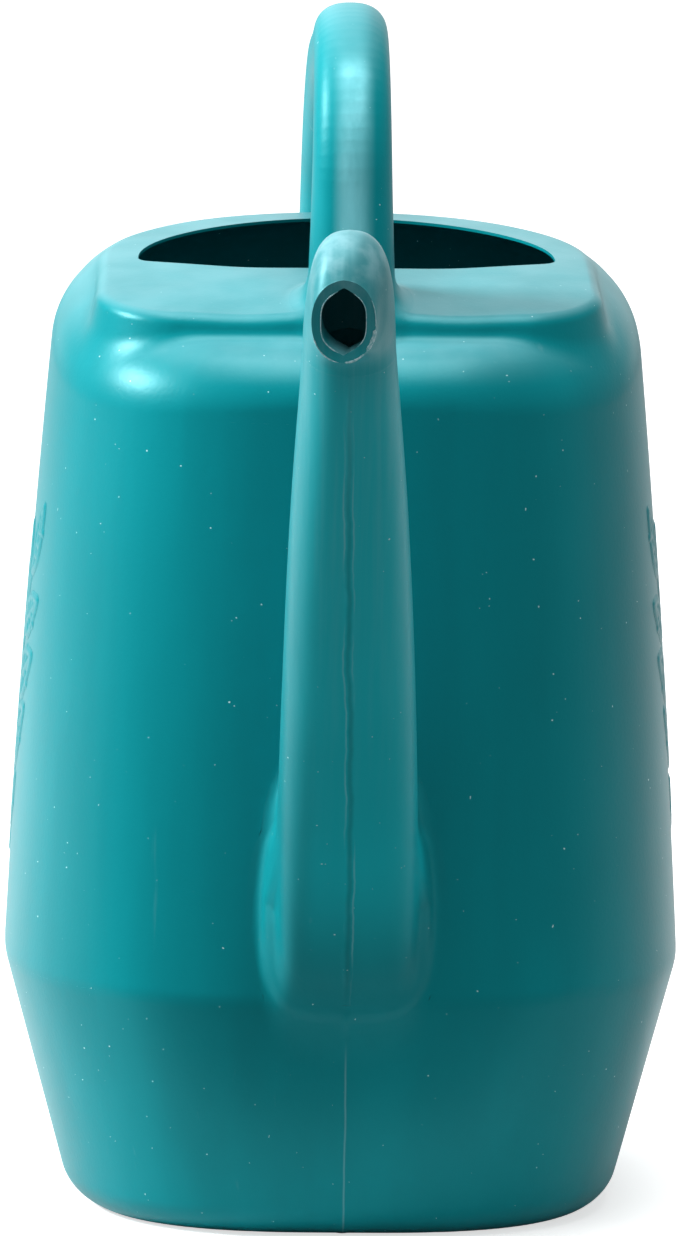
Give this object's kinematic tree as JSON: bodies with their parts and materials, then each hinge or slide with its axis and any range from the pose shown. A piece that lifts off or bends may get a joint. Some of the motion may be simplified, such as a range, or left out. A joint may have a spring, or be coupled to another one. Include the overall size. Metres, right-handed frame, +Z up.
{
  "type": "watering can",
  "caption": "Blow-moulded plastic garden watering can: tapered tank, filler collar with spill cover, long forward spout and hollow loop handle.",
  "frame": {"origin": "middle of the foot, on the plane the can stands on", "axes": "+Z up, -Y towards the spout's mouth, +Y towards the handle's rear leg, +X to the right seen from the spout"},
  "size_m": [0.2036, 0.3718, 0.362],
  "materials": {
    "body_plastic": "satin-gloss teal polyethylene with a fine moulded texture",
    "spout_plastic": "the same teal polyethylene, frosted by the mould and by handling",
    "handle_plastic": "the same teal polyethylene, smoother where the hand holds it"
  },
  "bodies": {
    "root": {"tank_base": "body_plastic", "tank_wall": "body_plastic", "tank_shoulder": "body_plastic", "filler_collar": "body_plastic", "spout": "spout_plastic", "spout_nose": "spout_plastic", "handle_front_leg": "handle_plastic", "handle_grip": "handle_plastic", "handle_rear_leg": "handle_plastic"}
  },
  "joints": []
}
